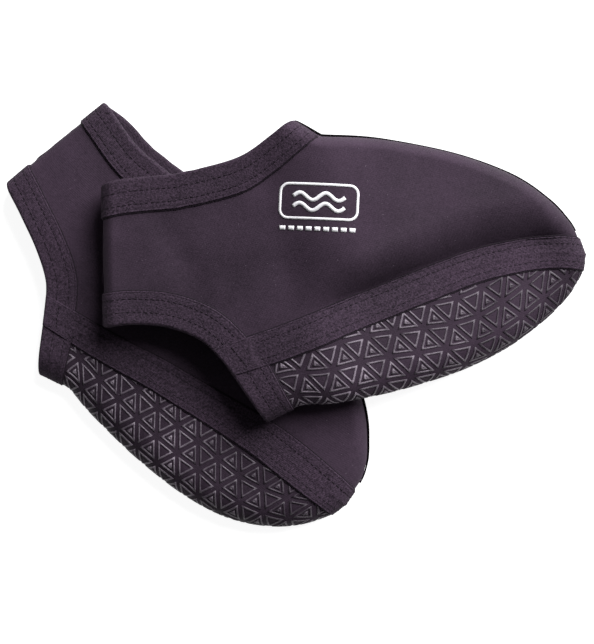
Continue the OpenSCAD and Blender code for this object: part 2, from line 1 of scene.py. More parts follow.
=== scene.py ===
# A pair of low-cut neoprene boots with an open heel, lying flat on their sides.
# The front boot lies over the rear one. All sizes below are in millimetres.
import math
import random

import bmesh
import bpy
import numpy as np
from mathutils import Matrix, Vector


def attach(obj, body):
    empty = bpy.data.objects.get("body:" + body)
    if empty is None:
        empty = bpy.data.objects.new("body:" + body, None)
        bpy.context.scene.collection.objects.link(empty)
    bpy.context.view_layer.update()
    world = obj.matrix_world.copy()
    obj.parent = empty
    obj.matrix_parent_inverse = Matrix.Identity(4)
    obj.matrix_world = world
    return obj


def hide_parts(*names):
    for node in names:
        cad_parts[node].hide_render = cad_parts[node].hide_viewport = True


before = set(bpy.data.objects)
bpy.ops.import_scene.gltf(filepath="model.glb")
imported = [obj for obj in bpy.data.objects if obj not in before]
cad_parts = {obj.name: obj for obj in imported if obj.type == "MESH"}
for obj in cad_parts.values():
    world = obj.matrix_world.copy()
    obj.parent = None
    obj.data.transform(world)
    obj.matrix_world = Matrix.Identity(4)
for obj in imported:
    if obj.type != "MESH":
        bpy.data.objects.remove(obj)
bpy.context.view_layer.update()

MM = 0.001
FRONT, REAR = "front", "rear"
NEAR, FAR, FOLD = 1, -1, 0
random.seed(11)

# ---- Sizes of the boots
FOOT_LENGTH, STRAP_REACH, UPPER_HEIGHT, SOLE_DEPTH = 196, 55, 108, 40
STRAP_FULL, TOE_FULL, BULGE, UNDER = 9, 12, 7, 5
FULL = {FRONT: 15, REAR: 11}
NEAR_ROUND, FAR_ROUND = 14, 5.5
NEOPRENE, TAPE_THICK, LAYER_GAP, BEAD_HALF = 2.5, 0.9, 0.25, 0.25
TAPE_W, ANKLE_BINDING_W, HEEL_BINDING_W, SOLE_BINDING_W = 17.4, 16.5, 16, 17
STITCH_ROWS = (4.2, 11)
TURN = {FRONT: math.radians(16.5), REAR: math.radians(-32.9)}
PLACE = {FRONT: (0, 0), REAR: (-96, 26)}
DRAW = {FRONT: 1, REAR: 0.957}
SHELF, BEAD_ROOM, TAPE_REST = 7, 1.4, 0.6
SHOULDER, SHOULDER_GROWTH = 15, 9
EDGE_TIGHTER, STRAP_TIGHTER = 5.5, 1.3
THIN_EDGE, THIN_RUN = 0.12, 14
STRAP_SWING, STRAP_STRETCH, SOLE_TUCK, TOE_SQUARE, TOE_SAG = 10.5, 5, 5, 3, 7.4
OPENING_SPREAD, STRAP_PUFF, HEEL_IN = 2.4, 1.2, 1.2
ANKLE_GAPE, DRAPE_RUN, NEAR_RUN, REAR_BULGE = 5.5, 90, 150, 14
FOLD_Z = UNDER + BEAD_HALF + LAYER_GAP + TAPE_THICK
STACK = 20.3

# ---- Outline: ribs run from the top edge to the sole seam, and on to the sole's fold
ANKLE_RIB, VAMP_RIB, HEEL_RIB, TOE_RIB = 7, 8, 4, 14
ANKLE_EDGE = np.array([[-65, 96], [-47, 95.5], [-21, 93], [1.3, 90.5], [7.2, 89.5],
                       [18.4, 89.3], [28, 94.6], [35, 99.5]])
VAMP_EDGE = np.array([[40.6, 91.3], [55.6, 82.9], [73.3, 67.3], [87.6, 48.5], [95.7, 31],
                      [98.7, 19], [99.7, 11]])
HEEL_EDGE = np.array([[-100, 33], [-72, 30.3], [-41.6, 24.2], [-15.5, 13.8], [0, 0]])
SEAM = np.array([[0, 0], [11.9, 0.6], [23, 2], [35, 4.6], [44.4, 6], [57.4, 8.2],
                 [70.7, 9.8], [83.4, 8.3], [92.2, 5.2], [97.3, 2.1], [100, 0]])
SOLE_FOLD = np.array([[5.9, -87.8], [15, -81.5], [23.5, -91], [36.1, -98], [45.8, -100.5],
                      [59.4, -99.8], [72.6, -89.5], [84.1, -69.5], [91.4, -51], [95.4, -36],
                      [98, -23]])


def smooth(v):
    v = np.clip(v, 0, 1)
    return v * v * (3 - 2 * v)


def unit(v):
    return v / np.maximum(np.linalg.norm(v, axis=-1, keepdims=True), 1e-9)


def curve(points, u):
    """A smooth curve through the points, at u from 0 to the last index."""
    last = len(points) - 1
    i = np.clip(np.floor(u), 0, last - 1).astype(int)
    f = (u - i)[..., None]
    a, b = points[np.maximum(i - 1, 0)], points[i]
    c, d = points[i + 1], points[np.minimum(i + 2, last)]
    return 0.5 * (2 * b + (c - a) * f + (2 * a - 5 * b + 4 * c - d) * f ** 2
                  + (3 * b - a - 3 * c + d) * f ** 3)


def sized(p):
    """Outline points given in hundredths of the boot's sizes, in millimetres."""
    wide = np.where(p[..., 0] > 0, FOOT_LENGTH, STRAP_REACH)
    high = np.where(p[..., 1] > 0, UPPER_HEIGHT, SOLE_DEPTH)
    return np.stack([p[..., 0] * wide, p[..., 1] * high], -1) / 100


def top_at(k):
    """The top edge of the upper at rib k: ankle, then vamp, set in where the bead lies."""
    k = np.asarray(k, float)
    ankle = curve(ANKLE_EDGE, np.minimum(k, ANKLE_RIB))
    wedge = ANKLE_EDGE[-1] + (VAMP_EDGE[0] - ANKLE_EDGE[-1]) * (k - ANKLE_RIB)[..., None]
    u = np.maximum(k - VAMP_RIB, 0)
    vamp = curve(VAMP_EDGE, u)
    part = k[..., None]
    edge = sized(np.where(part <= ANKLE_RIB, ankle, np.where(part <= VAMP_RIB, wedge, vamp)))
    ahead = unit(sized(curve(VAMP_EDGE, u + 0.05)) - sized(vamp))
    inward = np.stack([ahead[..., 1], -ahead[..., 0]], -1)
    room = BEAD_ROOM * smooth((k - ANKLE_RIB) / 1.2) * smooth((TOE_RIB - 0.2 - k) / 2)
    return edge + inward * room[..., None]


def seam_at(k):
    """The seam of upper and sole at rib k; before the heel rib, the strap's lower edge."""
    k = np.asarray(k, float)
    heel = curve(HEEL_EDGE, np.minimum(k, HEEL_RIB))
    return sized(np.where(k[..., None] <= HEEL_RIB, heel,
                          curve(SEAM, np.maximum(k - HEEL_RIB, 0))))


def fold_at(k):
    """The fold of the sole at rib k."""
    return sized(curve(SOLE_FOLD, np.asarray(k, float) - HEEL_RIB))


def bent(boot, p):
    """The boot's plane as it lies: both straps puff out at the fold. The rear boot also has
    its strap swung up, its ankle opened, its heel tucked in and its sole sagging at the toe."""
    x, y = p[..., 0], p[..., 1]
    back = np.clip((-x / STRAP_REACH - 0.15) / 0.85, 0, 1)
    along, high = np.clip(x / FOOT_LENGTH, 0, 1), y / UPPER_HEIGHT
    puff = STRAP_PUFF * smooth((high - 0.46) / 0.08) * smooth((0.83 - high) / 0.08)
    x = x - puff * back * back
    if boot == FRONT:
        return np.stack([x, y], -1)
    sag = TOE_SAG * np.sin(np.pi * along ** 3) * np.clip(1 - high * 2.7, 0, 1)
    tuck = SOLE_TUCK * np.clip(-y / SOLE_DEPTH, 0, 1) * (1 - smooth(along * 1.9))
    spread = TOE_SQUARE * smooth(along * 3 - 1.5) * smooth(high * 4)
    opened = OPENING_SPREAD * smooth(high * 1.6 - 0.5) * (1 - smooth(along * 4 - 0.5))
    heel = HEEL_IN * np.exp(-((x + 5) / 30) ** 2) * smooth(1 - high * 2)
    return np.stack([x + heel + 0.8 * tuck + 0.85 * spread
                     - STRAP_STRETCH * back * (0.35 - 0.38 * np.clip(high, 0, 1)),
                     y + STRAP_SWING * back * back + STRAP_STRETCH * back * high
                     + opened + tuck + 0.5 * spread - sag], -1)


def laid(boot, p):
    """Points of the boot's plane, bent, turned and put in place."""
    q = DRAW[boot] * bent(boot, p)
    c, s = math.cos(TURN[boot]), math.sin(TURN[boot])
    return np.stack([q[..., 0] * c - q[..., 1] * s, q[..., 0] * s + q[..., 1] * c], -1) \
        + np.array(PLACE[boot])


def steps(start, stop, step):
    return np.arange(start, stop + step / 2, step)


def rim_lines(boot):
    """The closed edges: heel strap, vamp round the toe, and the fold of the sole."""
    strap = np.stack([laid(boot, top_at(0) * (1 - f) + seam_at(0) * f) for f in (0, 0.5, 1)])
    vamp = np.concatenate([laid(boot, top_at(steps(ANKLE_RIB, TOE_RIB, 0.25))),
                           laid(boot, seam_at(TOE_RIB))[None], laid(boot, fold_at(TOE_RIB))[None]])
    return strap, vamp, laid(boot, fold_at(steps(HEEL_RIB, TOE_RIB, 0.25)))


RIMS = {boot: rim_lines(boot) for boot in (FRONT, REAR)}
CENTRE = np.array([35.49, 24.79])
SEAM_LINE = seam_at(steps(HEEL_RIB, TOE_RIB, 0.1))
PEAK = laid(REAR, top_at(ANKLE_RIB))
CHORD = unit(laid(REAR, seam_at(TOE_RIB)) - PEAK)


def line_distance(w, line):
    """Shortest distance from each point to a line of points."""
    best = np.full(w.shape[:-1], 1e9)
    for a, b in zip(line[:-1], line[1:]):
        way = b - a
        f = np.clip(((w - a) @ way) / max(way @ way, 1e-6), 0, 1)
        best = np.minimum(best, np.linalg.norm(w - a - f[..., None] * way, axis=-1))
    return best


def edge_distance(boot, w):
    """Distance to the nearest closed edge; the strap's fold rounds more tightly."""
    strap, vamp, sole = RIMS[boot]
    return np.minimum(np.minimum(line_distance(w, strap) * STRAP_TIGHTER,
                                 line_distance(w, vamp)), line_distance(w, sole))


def lift(boot, w, run=DRAPE_RUN):
    """Height that the rear boot gives the front one."""
    if boot == REAR:
        return 0
    return STACK * (1 - smooth(((w - PEAK) @ np.array([-CHORD[1], CHORD[0]]) - REAR_BULGE)
                               / run))


def crown(boot, p):
    """Height of the near side: a full toe box that drops to a shelf where the tape lies."""
    x = p[..., 0] / FOOT_LENGTH
    full = FULL[boot]
    high = (STRAP_FULL + (full - STRAP_FULL) * smooth(0.2 + x * 2)
            - (full - TOE_FULL) * smooth((x - 0.75) * 4))
    if boot == REAR:
        return high
    over_tape = p[..., 1] - TAPE_W / 2 - np.interp(p[..., 0], SEAM_LINE[:, 0], SEAM_LINE[:, 1])
    drop = smooth((x - 0.2) / 0.22) * smooth((1.06 - x) / 0.2)
    shoulder = SHOULDER + SHOULDER_GROWTH * np.clip(x, 0, 1)
    steep = 1 - (1 - np.clip((over_tape + TAPE_REST) / shoulder, 0, 1)) ** 2
    return high + ((BULGE + SHELF) * steep - SHELF) * drop


def ripple(boot, p):
    """Slow waves and shallow creases of the soft neoprene."""
    x, y = p[..., 0], p[..., 1]
    shift = 0.0 if boot == FRONT else 2.3
    slow = 0.35 * np.sin(x / 17 + shift + 1.1 * np.sin(y / 23)) * np.sin(y / 15 + 0.6 + shift)
    quick = 0.12 * np.sin(x / 6.1 + y / 9 + shift) * np.sin(y / 7.3 - x / 13)
    crease = -0.6 * np.exp(-((x + 6 + 0.25 * (y - 55)) / 7) ** 2) * smooth((y - 28) / 20) \
        * smooth((88 - y) / 20)
    return slow + quick + crease


def skin(boot, side, p):
    """The outer face of the neoprene at points of the boot's plane."""
    w = laid(boot, p)
    near_round = NEAR_ROUND - EDGE_TIGHTER * smooth((p[..., 1] - 14) / 22)
    q = np.clip(edge_distance(boot, w) / np.where(side == FAR, FAR_ROUND, near_round), 0, 1)
    rise = np.sqrt(1 - (1 - q) ** 2)
    stiff = lift(boot, w, NEAR_RUN) - lift(boot, w)
    high = np.where(side == NEAR, crown(boot, p) + stiff + ripple(boot, p) * smooth(q), UNDER)
    z = lift(boot, w) + FOLD_Z + side * (BEAD_HALF + high * rise)
    return np.concatenate([w - CENTRE, z[..., None]], -1)


# ---- Points along the ribs
def gape(boot, side, k):
    """How far the rear boot's far ankle edge stands out past the near one."""
    if boot == FRONT:
        return np.zeros(np.shape(k))
    return np.where(side == FAR, ANKLE_GAPE * smooth(k / 2) * smooth((6.6 - k) / 1.5), 0)


def down_rib(boot, side, k, r):
    """The place a distance r down rib k from the top edge."""
    a = top_at(k)
    a = a + np.stack([np.zeros(np.shape(k)), gape(boot, side, k)], -1)
    return a + unit(seam_at(k) - a) * np.asarray(r)[..., None]


def up_rib(k, e):
    """The place a distance e above the seam."""
    return seam_at(k) + unit(top_at(k) - seam_at(k)) * np.asarray(e)[..., None]


def sole_rib(k, e):
    """The place a distance e below the seam, towards the sole's fold."""
    return seam_at(k) + unit(fold_at(k) - seam_at(k)) * np.asarray(e)[..., None]


def sole_rib_length(k):
    return np.linalg.norm(fold_at(k) - seam_at(k), axis=-1)


def crowded(start, stop, count, ends="both", how=0.85):
    """Values from start to stop that lie closer together at one end or both."""
    u = np.linspace(0, 1, count)
    if ends == "both":
        u = u - how * np.sin(2 * np.pi * u) / (2 * np.pi)
    elif ends == "first":
        u = (1 - how) * u + how * u * u
    else:
        u = 1 - ((1 - how) * (1 - u) + how * (1 - u) ** 2)
    return start + (stop - start) * u


def round_fold(ks, fold_first=True):
    """Ribs of the far side, the fold and the near side, with the side of each."""
    if fold_first:
        return np.concatenate([ks[:0:-1], ks]), np.concatenate(
            [np.full(len(ks) - 1, FAR), [FOLD], np.full(len(ks) - 1, NEAR)])
    return np.concatenate([ks, ks[-2::-1]]), np.concatenate(
        [np.full(len(ks) - 1, NEAR), [FOLD], np.full(len(ks) - 1, FAR)])


class Sheet:
    """A grid of points on the skin with its outward normals and its place in the cut cloth."""

    def __init__(self, points, cloth, flip=None):
        self.points, self.cloth = points, cloth
        normals = unit(np.cross(np.gradient(points, axis=0), np.gradient(points, axis=1)))
        self.normals = normals if flip is None else normals * flip

    def off(self, height):
        """The sheet's points raised along their normals."""
        return self.points + self.normals * np.asarray(height)[..., None]


def facing_out(points, side):
    """The sign that turns the grid's normals out: up on the near side."""
    n = np.cross(np.gradient(points, axis=0), np.gradient(points, axis=1))[..., 2]
    near = np.broadcast_to(np.asarray(side) == NEAR, n.shape)
    return 1 if n[near].sum() > 0 else -1


def sheet_of(boot, side, p):
    points = skin(boot, side, p)
    return Sheet(points, p, facing_out(points, side))


def upper_sheet(boot):
    ks, side = round_fold(crowded(0, TOE_RIB, 190))
    rows = crowded(0, 1, 70, "first", 0.8)
    k, t = np.meshgrid(ks, rows, indexing="ij")
    side = np.repeat(side[:, None], len(rows), 1)
    a = top_at(k) + np.stack([0 * k, gape(boot, side, k)], -1)
    whole = np.linalg.norm(seam_at(k) - a, axis=-1) - LAYER_GAP / 2
    return sheet_of(boot, side, down_rib(boot, side, k, whole * t))


def sole_sheet(boot):
    ks = crowded(HEEL_RIB, TOE_RIB, 150, "last")
    rows = crowded(0, 1, 40, "last")
    rows, side = round_fold(rows, fold_first=False)
    k, t = np.meshgrid(ks, rows, indexing="ij")
    side = np.repeat(side[None], len(ks), 0)
    start = LAYER_GAP / 2
    return sheet_of(boot, side, sole_rib(k, start + (sole_rib_length(k) - start) * t))


# ---- Bands: the tape and the bindings
BAND_RISE = LAYER_GAP + TAPE_THICK
BAND_CLOTH, BAND_ROUND, GROOVE, LIP = 0.5, 0.35, 0.12, 1.3
TURN_STEP, END_RIBS, END_ROWS, END_DEPTH = 0.9, 40, 16, 1.1
TAPE_END, BINDING_RISE = 3.42, 0.8
HEEL_SQUEEZE, SOLE_BINDING_FLARE, UNDER_TAPE = 3.3, 1.12, 2.5


def band_profile(across, width, lips):
    """Height of a band over the skin at distances from its inner edge."""

    def groove(middle, half):
        return np.exp(-((across - middle) / half) ** 2)

    h = np.full(across.shape, BAND_RISE)
    h = h - GROOVE * groove(LIP, 0.4) - sum(GROOVE * groove(row, 0.9) for row in STITCH_ROWS)
    if lips == 2:
        h = h - GROOVE * groove(width - LIP, 0.4) + GROOVE * groove(width / 2, 0.6)
        h = h * np.clip((width - across) / BAND_ROUND, 0, 1) ** 0.5
    return h * np.clip(across / BAND_ROUND, 0, 1) ** 0.5


def band_steps(width, lips):
    """Distances across a band, close together at its edge, lip and ridge."""
    lip = np.array([0, 0.06, 0.2, 0.4, 0.65, 0.9, 1.1, 1.3, 1.5, 1.7, 2, 2.6])
    if lips == 2:
        middle = width / 2 + np.array([-2, -1.1, -0.7, -0.4, -0.2, 0, 0.2, 0.4, 0.7, 1.1, 2])
        return np.concatenate([lip, [3.4, 4.2, 5, 6], middle, [width - 6, width - 5, width - 4.2,
                                                              width - 3.4], width - lip[::-1]])
    return np.concatenate([lip, [3.4, 4.2, 5, 6.2, 7.4, 8.6, 9.8, 11, 12, 13],
                           np.linspace(14, width, 5)])


def fold_over(points, normals, way, inner, turn_depth=1.5):
    """Rows that carry a band round the cut edge of the neoprene and back inside."""
    edge, n = points[:, -1], normals[:, -1]
    middle = edge - n * NEOPRENE / 2
    half = NEOPRENE / 2 + BAND_RISE
    rows = [middle + n * half * math.cos(a) + way * turn_depth * math.sin(a)
            for a in np.radians([25, 45, 65, 90, 115, 135, 155, 180])]
    rows += [points[:, j] - normals[:, j] * (NEOPRENE + BAND_RISE)
             for j in range(points.shape[1] - 2, -1, -1) if inner(j)]
    return np.stack(rows, 1)


def binding(name, boot, side, inner_line, edge_line, width):
    """A binding folded over a cut edge; returns the sheet under its outer leaf."""
    across = band_steps(width, 1)
    f = (across / width)[None, :, None]
    p = inner_line[:, None] * (1 - f) + edge_line[:, None] * f
    side = np.repeat(np.asarray(side)[:, None], len(across), 1)
    sheet = sheet_of(boot, side, p)
    height = np.repeat(band_profile(across, width, 1)[None], len(p), 0)
    outside = sheet.off(height)
    way = unit(sheet.points[:, -1] - sheet.points[:, -3])
    inside = fold_over(sheet.points, sheet.normals, way, lambda j: j % 3 == 0)
    turns = inside.shape[1]
    cloth = np.concatenate([p, np.repeat(p[:, -1:], turns, 1)
                            + np.arange(turns)[None, :, None] * TURN_STEP], 1)
    normals = np.concatenate([sheet.normals, np.repeat(sheet.normals[:, -1:], turns, 1)], 1)
    bm = grid_bmesh(np.concatenate([outside, inside], 1), normals, cloth)
    finished(f"{boot}_{name}_cloth", bm, TAPE_CLOTH, boot, name, BAND_CLOTH)
    return sheet


# ---- Mesh helpers
def grid_bmesh(points, normals, cloth, closed=False, thickness=None):
    """A grid of faces moved to the points, with the cloth's own places as UVs."""
    n, m = points.shape[:2]
    bm = bmesh.new()
    share = bm.verts.layers.deform.verify() if thickness is not None else None
    bmesh.ops.create_grid(bm, x_segments=n - 1, y_segments=m - 1, size=1)
    spots = {}
    for v in bm.verts:
        spots[v] = (round((v.co.x + 1) / 2 * (n - 1)), round((v.co.y + 1) / 2 * (m - 1)))
    layer = bm.loops.layers.uv.new("cloth")
    for face in bm.faces:
        face.smooth = True
        for loop in face.loops:
            loop[layer].uv = cloth[spots[loop.vert]] * MM
    for v, spot in spots.items():
        v.co = points[spot] * MM
        v.co.z = max(v.co.z, 0)
        if share:
            v[share][0] = float(thickness[spot])
    bm.normal_update()
    facing = sum(v.normal.dot(Vector(normals[spots[v]])) for v in bm.verts)
    if facing < 0:
        bmesh.ops.reverse_faces(bm, faces=bm.faces)
    if closed:
        bmesh.ops.remove_doubles(bm, verts=bm.verts, dist=0.01 * MM)
    return bm


def finished(name, bm, material, boot, replaces=None, thickness=0, thinned=False):
    """The piece with its material, thickness and body; it hides the node that it stands for."""
    mesh = bpy.data.meshes.new(name)
    bm.to_mesh(mesh)
    bm.free()
    mesh.materials.append(material)
    piece = bpy.data.objects.new(name, mesh)
    bpy.context.scene.collection.objects.link(piece)
    if thickness:
        solid = piece.modifiers.new("thickness", "SOLIDIFY")
        solid.thickness = thickness * MM
        solid.offset = -1
        if thinned:
            piece.vertex_groups.new(name="thickness")
            solid.vertex_group = "thickness"
    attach(piece, boot + "_boot")
    if replaces:
        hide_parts(boot + "_" + replaces)
    return piece


def join(meshes):
    """One mesh made of several."""
    whole = bmesh.new()
    for bm in meshes:
        part = bpy.data.meshes.new("part")
        bm.to_mesh(part)
        bm.free()
        whole.from_mesh(part)
        bpy.data.meshes.remove(part)
    return whole


# ---- Materials
class Nodes:
    """Adds nodes to a material and links them."""

    def __init__(self, name):
        self.material = bpy.data.materials.new(name)
        self.material.use_nodes = True
        self.tree = self.material.node_tree
        self.shader = self.tree.nodes["Principled BSDF"]

    def add(self, kind, inputs=None, **settings):
        node = self.tree.nodes.new(kind)
        for key, value in settings.items():
            setattr(node, key, value)
        for key, value in (inputs or {}).items():
            self.put(node.inputs[key], value)
        return node

    def put(self, socket, value):
        if isinstance(value, bpy.types.NodeSocket):
            self.tree.links.new(value, socket)
        else:
            socket.default_value = value

    def math(self, operation, a, b=0.0):
        node = self.add("ShaderNodeMath", operation=operation)
        self.put(node.inputs[0], a)
        self.put(node.inputs[1], b)
        return node.outputs[0]

    def noise(self, place, scale, detail=3.0, rough=0.6):
        return self.add("ShaderNodeTexNoise", {"Vector": place, "Scale": scale,
                                               "Detail": detail, "Roughness": rough}).outputs["Fac"]

    def blend(self, amount, low, high):
        node = self.add("ShaderNodeMix", data_type="RGBA")
        self.put(node.inputs[0], amount)
        self.put(node.inputs[6], low)
        self.put(node.inputs[7], high)
        return node.outputs[2]

    def spread(self, value, low, high, to_low=0.0, to_high=1.0):
        return self.add("ShaderNodeMapRange", {0: value, 1: low, 2: high, 3: to_low,
                                               4: to_high}).outputs[0]

    def bump(self, height, strength, distance):
        return self.add("ShaderNodeBump", {"Height": height, "Strength": strength,
                                           "Distance": distance}).outputs["Normal"]

    def solid(self):
        return self.add("ShaderNodeTexCoord").outputs["Object"]

    def cloth(self):
        return self.add("ShaderNodeUVMap", uv_map="cloth").outputs[0]

    def surface(self, base, roughness, specular, normal=None):
        """Sets the shader's sockets and returns the material."""
        self.put(self.shader.inputs["Base Color"], base)
        self.put(self.shader.inputs["Roughness"], roughness)
        self.put(self.shader.inputs["Specular IOR Level"], specular)
        if normal is not None:
            self.put(self.shader.inputs["Normal"], normal)
        return self.material


def colour(r, g, b, a=1.0):
    """A linear colour from screen values of 0 to 255."""
    def linear(v):
        v /= 255
        return v / 12.92 if v <= 0.04045 else ((v + 0.055) / 1.055) ** 2.4
    return (linear(r), linear(g), linear(b), a)


def knit_material(name, dark, light, wale, depth, mottle, rough):
    """Knitted facing: rows of tiny stitches, fuzz, a slow change of tone, specks of lint."""
    n = Nodes(name)
    place, solid = n.cloth(), n.solid()
    ribs = n.add("ShaderNodeTexWave", {"Vector": place, "Scale": wale, "Distortion": 1.2,
                                       "Detail": 2.0, "Detail Scale": 2.0}, wave_type="BANDS",
                 bands_direction="X").outputs["Fac"]
    loops = n.add("ShaderNodeTexWave", {"Vector": place, "Scale": wale * 0.8, "Distortion": 2.0,
                                        "Detail": 1.0}, wave_type="BANDS",
                  bands_direction="Y").outputs["Fac"]
    knit = n.math("MULTIPLY", ribs, loops)
    fuzz = n.spread(n.noise(solid, 1050, 2.0, 0.7), 0.3, 0.7)
    patch = n.spread(n.noise(solid, 260, 3.0, 0.6), 0.3, 0.7)
    slow = n.spread(n.noise(solid, 14, 3.0, 0.55), 0.3, 0.7)
    tone = n.math("ADD", n.math("MULTIPLY", fuzz, mottle), n.math("MULTIPLY", patch, 0.12))
    tone = n.math("ADD", tone, n.math("MULTIPLY", slow, 0.88 - mottle))
    base = n.blend(tone, dark, light)
    lint = n.spread(n.noise(solid, 900, 1.0, 0.4), 0.76, 0.82)
    base = n.blend(n.math("MULTIPLY", lint, 0.3), base, colour(128, 118, 130))
    height = n.math("ADD", n.math("MULTIPLY", knit, 0.6), n.math("MULTIPLY", fuzz, 0.5))
    return n.surface(base, n.spread(slow, 0.3, 0.7, rough - 0.06, rough + 0.06), 0.12,
                     n.bump(height, 0.7, depth * MM))


def thread_material():
    """Twisted sewing thread."""
    n = Nodes("thread")
    twist = n.noise(n.solid(), 2500, 2.0, 0.6)
    return n.surface(n.blend(twist, colour(14, 10, 15), colour(42, 33, 43)), 0.8, 0.15,
                     n.bump(twist, 0.5, 0.1 * MM))


def bead_material():
    """Black seam glue, dull and a little rough."""
    n = Nodes("seam_bead")
    rough = n.noise(n.solid(), 700, 3.0, 0.6)
    return n.surface(n.blend(rough, colour(2, 1, 2), colour(9, 7, 9)),
                     n.spread(rough, 0.3, 0.7, 0.7, 0.9), 0.03, n.bump(rough, 0.4, 0.15 * MM))


def print_material(name, low, high, wear_and_shade, roughness, wear, shade_run=None):
    """A printed film: uneven in tone, a little glossy, thin and worn in places.
    shade_run gives the run along the sole over which painted shade darkens the print towards the
    toe, and how dark it gets."""
    n = Nodes(name)
    solid = n.solid()
    patch = n.noise(solid, 55, 4.0, 0.6)
    grain = n.noise(solid, 1100, 3.0, 0.7)
    base = n.blend(n.spread(patch, 0.35, 0.65), low, high)
    if shade_run:
        # Painted shade: from the run's start towards the toe the print is blended towards the dark
        # wear_and_shade colour.
        along = n.add("ShaderNodeSeparateXYZ", {0: n.cloth()}).outputs[0]
        base = n.blend(n.spread(along, shade_run[0] * MM, shade_run[1] * MM, 0.0, shade_run[2]), base, wear_and_shade)
    thin = n.math("MULTIPLY", n.spread(grain, 0.5, 0.62), wear)
    return n.surface(n.blend(thin, base, wear_and_shade),
                     n.spread(grain, 0.3, 0.7, roughness, roughness + 0.2), 0.3,
                     n.bump(grain, 0.4, 0.12 * MM))


def floor_material():
    """A plain white sweep that glows a little, so that only soft shadows show on it."""
    n = Nodes("floor")
    n.put(n.shader.inputs["Emission Color"], (1, 1, 1, 1))
    n.put(n.shader.inputs["Emission Strength"], 0.9)
    return n.surface(n.blend(n.noise(n.solid(), 3, 2.0), (0.44, 0.44, 0.445, 1),
                             (0.47, 0.47, 0.47, 1)), 0.9, 0.1)


JERSEY = knit_material("jersey", colour(28, 20, 29), colour(64, 51, 65), 420, 0.14, 0.35, 0.8)
SOLE_CLOTH = knit_material("sole_cloth", colour(25, 18, 26), colour(56, 44, 57), 420, 0.14, 0.35,
                           0.75)
TAPE_CLOTH = knit_material("tape_cloth", colour(5, 3, 7), colour(71, 57, 72), 520, 0.3, 0.7,
                           0.85)
THREAD = thread_material()
BEAD = bead_material()
# The grip's darkest colour serves both thin wear and the painted shade that darkens the print from
# 75 to 140 mm along the sole.
GRIP = print_material("grip_print", colour(58, 50, 59), colour(114, 104, 115), colour(44, 36, 45),
                      0.42, 0.55, (75, 140, 0.72))
WHITE_PRINT = print_material("emblem_print", colour(222, 220, 225), colour(238, 237, 240),
                             colour(170, 165, 172), 0.5, 0.25)


# ---- Sub-parts of one boot
def thinned(boot, sheet):
    """Share of the neoprene's thickness: squeezed thin along the closed edges."""
    inward = edge_distance(boot, laid(boot, sheet.cloth)) / THIN_RUN
    return THIN_EDGE + (1 - THIN_EDGE) * smooth(inward - 0.1)


def panel(name, boot, sheet, material):
    """A panel of neoprene, folded and sewn into the boot."""
    bm = grid_bmesh(sheet.points, sheet.normals, sheet.cloth, thickness=thinned(boot, sheet))
    piece = finished(f"{boot}_{name}_shell", bm, material, boot, name, NEOPRENE, True)
    return sheet


def seam_tape(boot):
    """The tape over the sole seam, wrapped round the toe; its ends fold over the heel gap."""
    ks, side = round_fold(crowded(HEEL_RIB, TOE_RIB, 170), fold_first=False)
    across = band_steps(TAPE_W, 2)
    half = TAPE_W / 2
    end = smooth((4.35 - ks) / 0.35)
    high = up_rib(ks, np.full(len(ks), half))
    high = high * (1 - end)[:, None] + end[:, None] * seam_at(np.full(len(ks), TAPE_END))
    low = sole_rib(ks, np.minimum(half, 0.95 * sole_rib_length(ks)))
    middle = seam_at(ks)
    f = (across / half)[None, :, None]
    p = np.where(f < 1, high[:, None] * (1 - f) + middle[:, None] * f,
                 middle[:, None] * (2 - f) + low[:, None] * (f - 1))
    sides = np.repeat(side[:, None], len(across), 1)
    sheet = sheet_of(boot, sides, p)
    over_bindings = BINDING_RISE * smooth((4.75 - ks) / 0.2)
    height = band_profile(across, TAPE_W, 2)[None] + over_bindings[:, None] \
        * np.clip(np.minimum(across, TAPE_W - across) / 0.5, 0, 1)[None]
    outside = sheet.off(height)

    def turned(rows, normals):
        """The rows that carry an end of the tape round the cut edge at the heel."""
        rows = rows - normals * END_DEPTH
        grid, n = np.swapaxes(rows, 0, 1), np.swapaxes(normals, 0, 1)
        way = unit(grid[:, -1] - grid[:, -3])
        leaf = fold_over(grid, n, way, lambda j: j > grid.shape[1] - END_ROWS and j % 3 == 0)
        return np.swapaxes(leaf, 0, 1)

    near_end = turned(outside[:END_RIBS][::-1], sheet.normals[:END_RIBS][::-1])
    far_end = turned(outside[-END_RIBS:], sheet.normals[-END_RIBS:])
    before, after = len(near_end), len(far_end)
    grid = np.concatenate([near_end[::-1], outside, far_end])
    normals = np.concatenate([np.repeat(sheet.normals[:1], before, 0), sheet.normals,
                              np.repeat(sheet.normals[-1:], after, 0)])
    cloth = np.concatenate([
        np.repeat(p[:1], before, 0) - np.arange(before, 0, -1)[:, None, None] * TURN_STEP, p,
        np.repeat(p[-1:], after, 0) + np.arange(1, after + 1)[:, None, None] * TURN_STEP])
    finished(boot + "_seam_tape", grid_bmesh(grid, normals, cloth), TAPE_CLOTH, boot,
             "sole_tape", BAND_CLOTH)
    return sheet, across


def ankle_binding(boot):
    """Round the ankle edge; from rib 6 on its inner edge runs in to the vamp seam."""
    ks, side = round_fold(crowded(0, 6.9, 110, "first"))
    edge = down_rib(boot, side, ks, np.zeros(len(ks)))
    inner = down_rib(boot, side, ks, np.full(len(ks), ANKLE_BINDING_W))
    six = down_rib(boot, side, np.full(len(ks), 6.0), np.full(len(ks), ANKLE_BINDING_W))
    front = top_at(np.full(len(ks), VAMP_RIB)) - [2.5, 1.5]
    f = np.clip((ks - 6) / 0.9, 0, 1)[:, None]
    inner = np.where(ks[:, None] > 6, six * (1 - f) + front * f, inner)
    return binding("ankle_binding", boot, side, inner, edge, ANKLE_BINDING_W)


